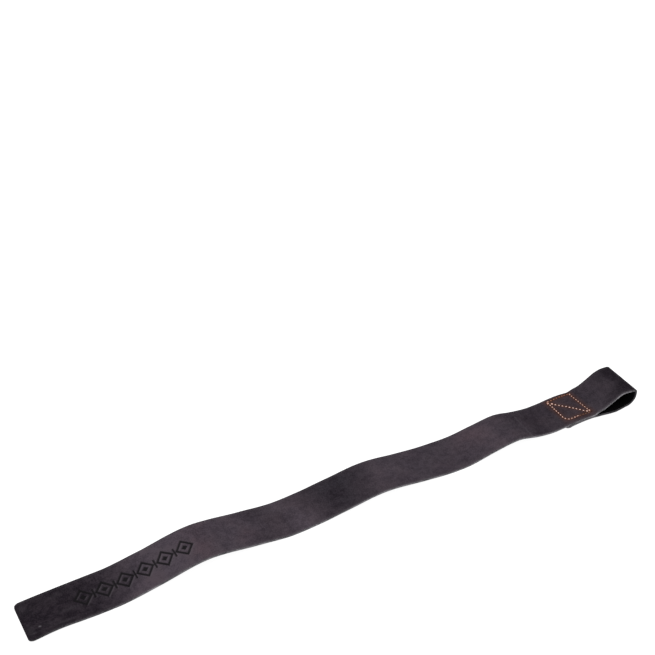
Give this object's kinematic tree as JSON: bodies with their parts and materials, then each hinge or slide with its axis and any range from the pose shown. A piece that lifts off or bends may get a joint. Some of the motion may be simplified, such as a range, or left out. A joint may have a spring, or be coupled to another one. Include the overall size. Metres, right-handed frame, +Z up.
{
  "type": "weightlifting strap",
  "caption": "Long flat leather lifting strap, laid out in shallow waves, with a sewn loop at one end and a square cut free end.",
  "frame": {"origin": "on the table, under the middle of the strap's bounding box", "axes": "+X along the strap from its free end to its sewn loop, +Z up from the table, +Y to the left when looking along +X"},
  "size_m": [0.5664, 0.044, 0.0186],
  "materials": {
    "leather": "matt waxed charcoal leather with a suede underside and raw cut edges",
    "thread": "bonded orange sewing thread"
  },
  "bodies": {
    "root": {"leather_strap": "leather"}
  },
  "joints": []
}
